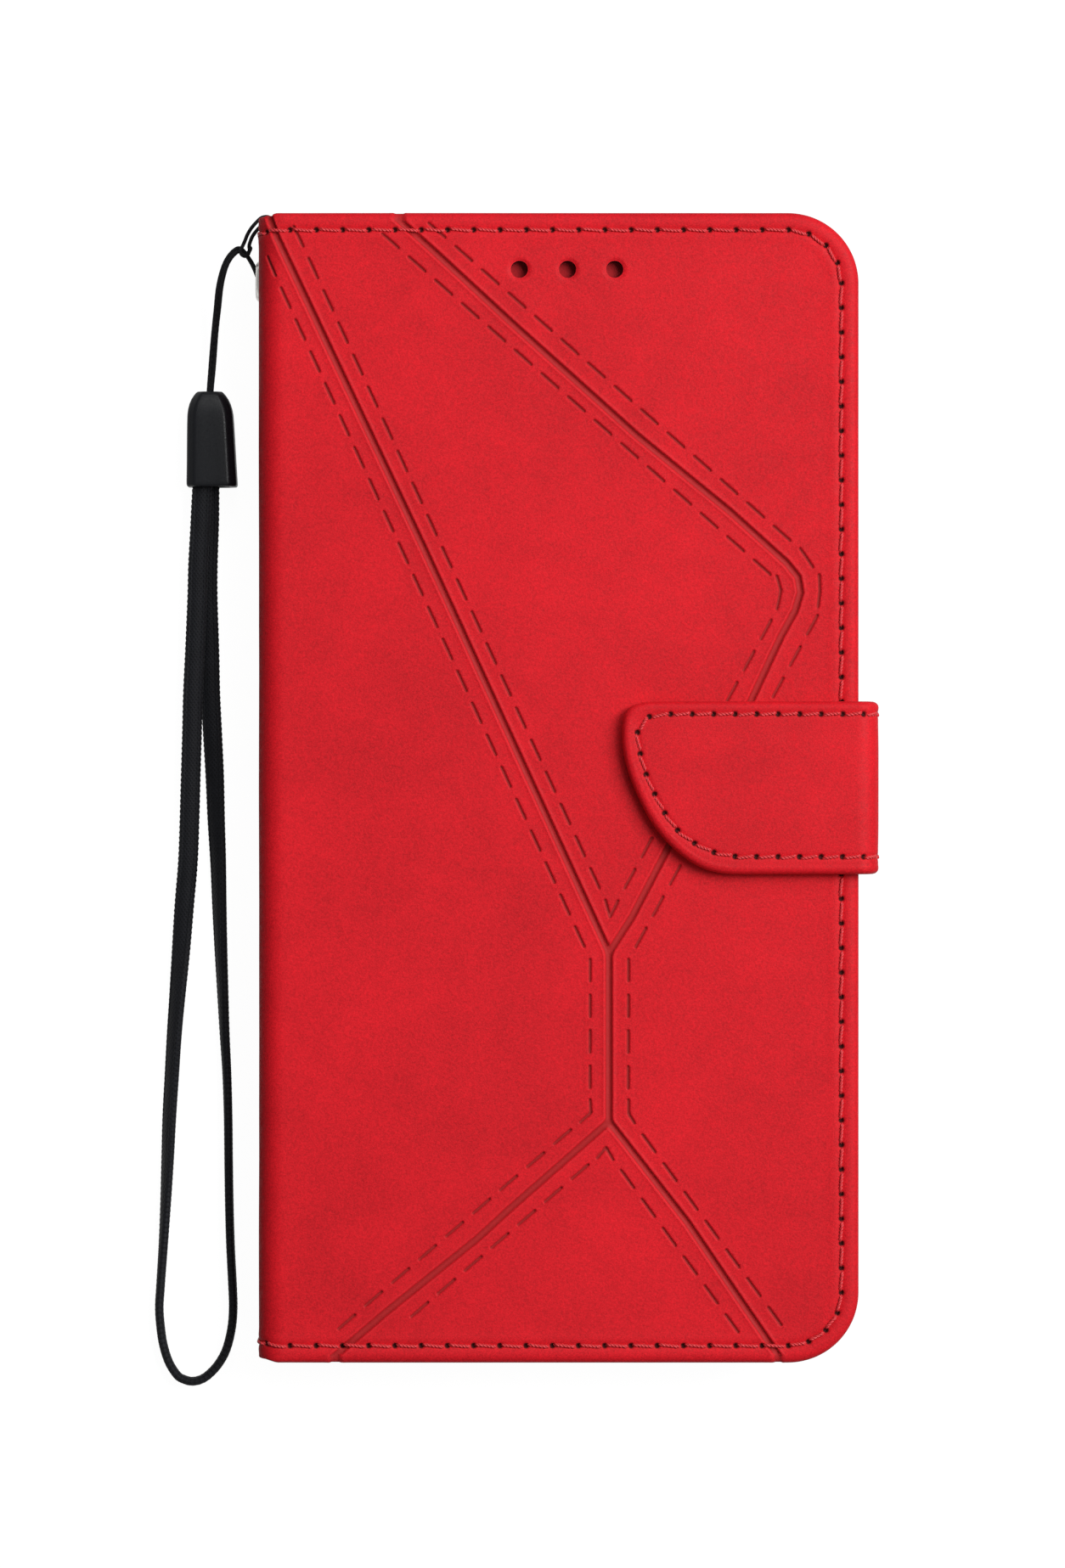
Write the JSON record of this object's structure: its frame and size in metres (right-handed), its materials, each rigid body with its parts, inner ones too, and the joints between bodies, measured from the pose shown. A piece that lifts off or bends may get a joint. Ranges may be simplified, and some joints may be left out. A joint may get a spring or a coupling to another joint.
{
  "type": "phone wallet case",
  "caption": "Leather-look folio phone wallet case with embossed front cover, magnetic closure strap, spine eyelet, corded bead lanyard and moulded phone tray.",
  "frame": {"origin": "centre of the back cover's flat rest face, with the case closed and lying on its back cover", "axes": "+Z out of the front cover, +Y towards the top of the phone, spine at -X and closure strap at +X"},
  "size_m": [0.1066, 0.1728, 0.0204],
  "materials": {
    "red_leather": "matte skin-feel PU leather with a fine soft grain",
    "greyboard": "matte pressed board",
    "lining": "fine smooth lining leather, satin",
    "thread": "waxed twisted thread",
    "tray_elastomer": "matte moulded elastomer",
    "nickel": "polished nickel plate",
    "steel": "brushed steel sheet",
    "magnet": "satin plated magnet",
    "padding": "thin felt padding",
    "black_cord": "round braided cord",
    "black_webbing": "narrow woven webbing",
    "black_plastic": "satin moulded plastic"
  },
  "bodies": {
    "back_cover": {"back_leather": "red_leather", "back_board": "greyboard", "back_lining": "lining", "back_seam_thread": "thread", "phone_tray": "tray_elastomer", "closure_anchor_tongue": "red_leather"},
    "spine": {"spine_leather": "red_leather", "spine_board": "greyboard", "spine_lining": "lining", "eyelet": "nickel", "eyelet_washer": "nickel", "lanyard_hitch": "black_cord"},
    "front_cover": {"front_leather": "red_leather", "front_board": "greyboard", "front_lining": "lining", "front_seam_thread": "thread", "front_catch_plate": "steel", "cash_pocket": "lining", "card_pocket_back": "lining", "card_pocket_middle": "lining", "card_pocket_front": "lining"},
    "closure_side": {"strap_side_outer": "red_leather", "strap_side_lining": "lining"},
    "closure_flap": {"flap_outer": "red_leather", "flap_core": "padding", "flap_lining": "lining", "flap_magnet": "magnet", "flap_seam_thread": "thread"},
    "lanyard": {"lanyard_cord": "black_cord", "lanyard_bead": "black_plastic"},
    "wrist_strap": {"wrist_strap": "black_webbing"}
  },
  "joints": [
    {"name": "spine_fold", "type": "hinge", "parent": "back_cover", "child": "spine", "pos_m": [-0.04035, 0, -0.0002], "axis": [0, -1, 0], "range_deg": [0, 180]},
    {"name": "front_cover_open", "type": "hinge", "parent": "spine", "child": "front_cover", "pos_m": [-0.04035, 0, 0.0178], "axis": [0, -1, 0], "range_deg": [0, 180]},
    {"name": "closure_side_fold", "type": "hinge", "parent": "back_cover", "child": "closure_side", "pos_m": [0.044, 0, 0.0027], "axis": [0, 1, 0], "range_deg": [0, 90]},
    {"name": "closure_flap_lift", "type": "hinge", "parent": "closure_side", "child": "closure_flap", "pos_m": [0.04672, 0, 0.02045], "axis": [0, 1, 0], "range_deg": [0, 90]},
    {"name": "lanyard_swing", "type": "hinge", "parent": "spine", "child": "lanyard", "pos_m": [-0.0467, 0.0791, 0.0088], "axis": [0, 0, -1], "range_deg": [0, 100]},
    {"name": "wrist_strap_swing", "type": "hinge", "parent": "lanyard", "child": "wrist_strap", "pos_m": [-0.0521, 0.0426, 0.0021], "axis": [0, 0, -1], "range_deg": [0, 60]}
  ],
  "couplings": [
    {"joint": "closure_flap_lift", "follows": "closure_side_fold", "ratio": 1}
  ]
}
